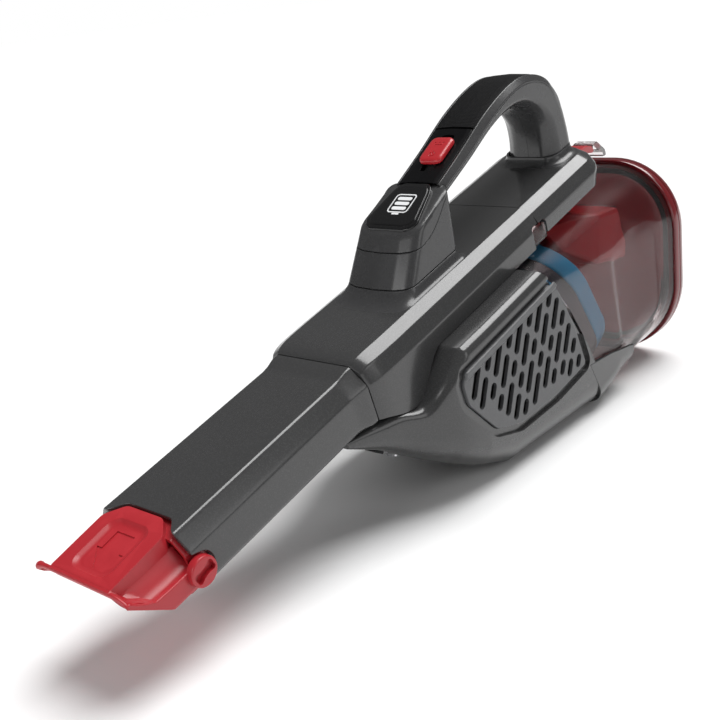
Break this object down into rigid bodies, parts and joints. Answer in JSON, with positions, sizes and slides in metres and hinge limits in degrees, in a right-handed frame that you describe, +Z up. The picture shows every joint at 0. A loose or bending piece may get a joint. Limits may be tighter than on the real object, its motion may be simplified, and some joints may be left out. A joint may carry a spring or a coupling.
{
  "type": "cordless handheld vacuum",
  "caption": "Cordless handheld vacuum with a pull-out crevice nozzle, arched handle, slotted motor housing, clear dust bowl and hinged rear door.",
  "frame": {"origin": "centre of the overall box on the ground plane, under the middle of the tool", "axes": "+X to the tool's right, -Y to the nozzle mouth, +Y to the rear door, +Z up from the flat belly"},
  "size_m": [0.107, 0.4328, 0.1911],
  "materials": {
    "shell_grey": "gloss",
    "inner_dark": "satin",
    "accent_red": "satin",
    "panel_black": "gloss",
    "grip_rubber": "textured",
    "ring_blue": "satin",
    "icon_white": "satin",
    "smoke_clear": "polished",
    "pale_clear": "polished",
    "steel": "brushed",
    "cell_green": "satin",
    "board_green": "satin",
    "contact_brass": "polished",
    "filter_fabric": "woven",
    "bristle_nylon": "matte"
  },
  "bodies": {
    "body": {"nozzle_duct": "shell_grey", "upper_shell": "shell_grey", "rear_cover": "shell_grey", "tower_collar": "shell_grey", "tower_band": "shell_grey", "tower_head": "shell_grey", "indicator_panel": "panel_black", "battery_icon": "icon_white", "charge_bar_1": "icon_white", "charge_bar_2": "icon_white", "charge_bar_3": "icon_white", "handle_right": "shell_grey", "handle_left": "shell_grey", "switch_bezel": "panel_black", "grip_insert": "grip_rubber", "motor_housing": "shell_grey", "grille_right": "shell_grey", "grille_left": "shell_grey", "charging_socket": "panel_black", "socket_pin": "contact_brass", "rear_cradle": "shell_grey", "transfer_duct": "inner_dark", "motor_can": "steel", "motor_mount": "grip_rubber", "fan_housing": "inner_dark", "battery_cell_1": "cell_green", "battery_cell_2": "cell_green", "battery_cell_3": "cell_green", "battery_wall": "inner_dark", "control_board": "board_green", "screw_belly_1": "steel", "screw_belly_2": "steel"},
    "nozzle_extension": {"nozzle_tip": "accent_red", "tip_pad": "accent_red", "tip_boss_right": "accent_red", "tip_boss_left": "accent_red"},
    "flip_brush": {"brush_carrier": "accent_red", "brush_bristles": "bristle_nylon"},
    "button_right": {"bowl_button_right": "smoke_clear"},
    "button_left": {"bowl_button_left": "smoke_clear"},
    "switch": {"power_switch": "accent_red", "switch_stem": "accent_red"},
    "bowl": {"dust_bowl": "smoke_clear", "door_hinge_pin": "steel", "latch_pin": "steel", "latch_lug_right": "pale_clear", "latch_lug_left": "pale_clear", "inlet_duct": "accent_red"},
    "door": {"door_frame": "accent_red", "door_panel": "smoke_clear", "door_seal": "grip_rubber", "door_catch": "pale_clear"},
    "latch": {"door_latch": "accent_red"},
    "filter": {"filter_frame": "inner_dark", "filter_ring": "ring_blue", "filter_cloth": "filter_fabric"},
    "flap": {"inlet_flap": "grip_rubber"},
    "rotor": {"motor_shaft": "steel", "impeller": "inner_dark"}
  },
  "joints": [
    {"name": "nozzle_slide", "type": "slide", "parent": "body", "child": "nozzle_extension", "axis": [0, -0.9703, -0.2419], "range_m": [0, 0.075]},
    {"name": "brush_hinge", "type": "hinge", "parent": "nozzle_extension", "child": "flip_brush", "pos_m": [0, -0.18051, 0.02884], "axis": [-1, 0, 0], "range_deg": [0, 160]},
    {"name": "switch_slide", "type": "slide", "parent": "body", "child": "switch", "axis": [0, -0.8652, -0.5015], "range_m": [0, 0.007]},
    {"name": "button_right_press", "type": "slide", "parent": "body", "child": "button_right", "axis": [-1, 0, 0], "range_m": [0, 0.0018], "stiffness_N_per_m": 400},
    {"name": "button_left_press", "type": "slide", "parent": "body", "child": "button_left", "axis": [1, 0, 0], "range_m": [0, 0.0018], "stiffness_N_per_m": 400},
    {"name": "bowl_slide", "type": "slide", "parent": "body", "child": "bowl", "axis": [0, 0.9703, 0.2419], "range_m": [0, 0.11]},
    {"name": "door_hinge", "type": "hinge", "parent": "bowl", "child": "door", "pos_m": [0, 0.1985, 0.0014], "axis": [-1, 0, 0], "range_deg": [0, 100]},
    {"name": "latch_hinge", "type": "hinge", "parent": "bowl", "child": "latch", "pos_m": [0, 0.17143, 0.13596], "axis": [1, 0, 0], "range_deg": [0, 20], "stiffness_Nm_per_rad": 0.05, "springref_deg": -5.73},
    {"name": "filter_slide", "type": "slide", "parent": "body", "child": "filter", "axis": [0, 0.8453, 0.5344], "range_m": [0, 0.005]},
    {"name": "flap_hinge", "type": "hinge", "parent": "bowl", "child": "flap", "pos_m": [0, 0.16612, 0.10516], "axis": [1, 0, 0], "range_deg": [0, 35]},
    {"name": "rotor_spin", "type": "hinge", "parent": "body", "child": "rotor", "pos_m": [0, 0.06544, 0.05142], "axis": [0, 0.8453, 0.5344], "continuous": true}
  ]
}
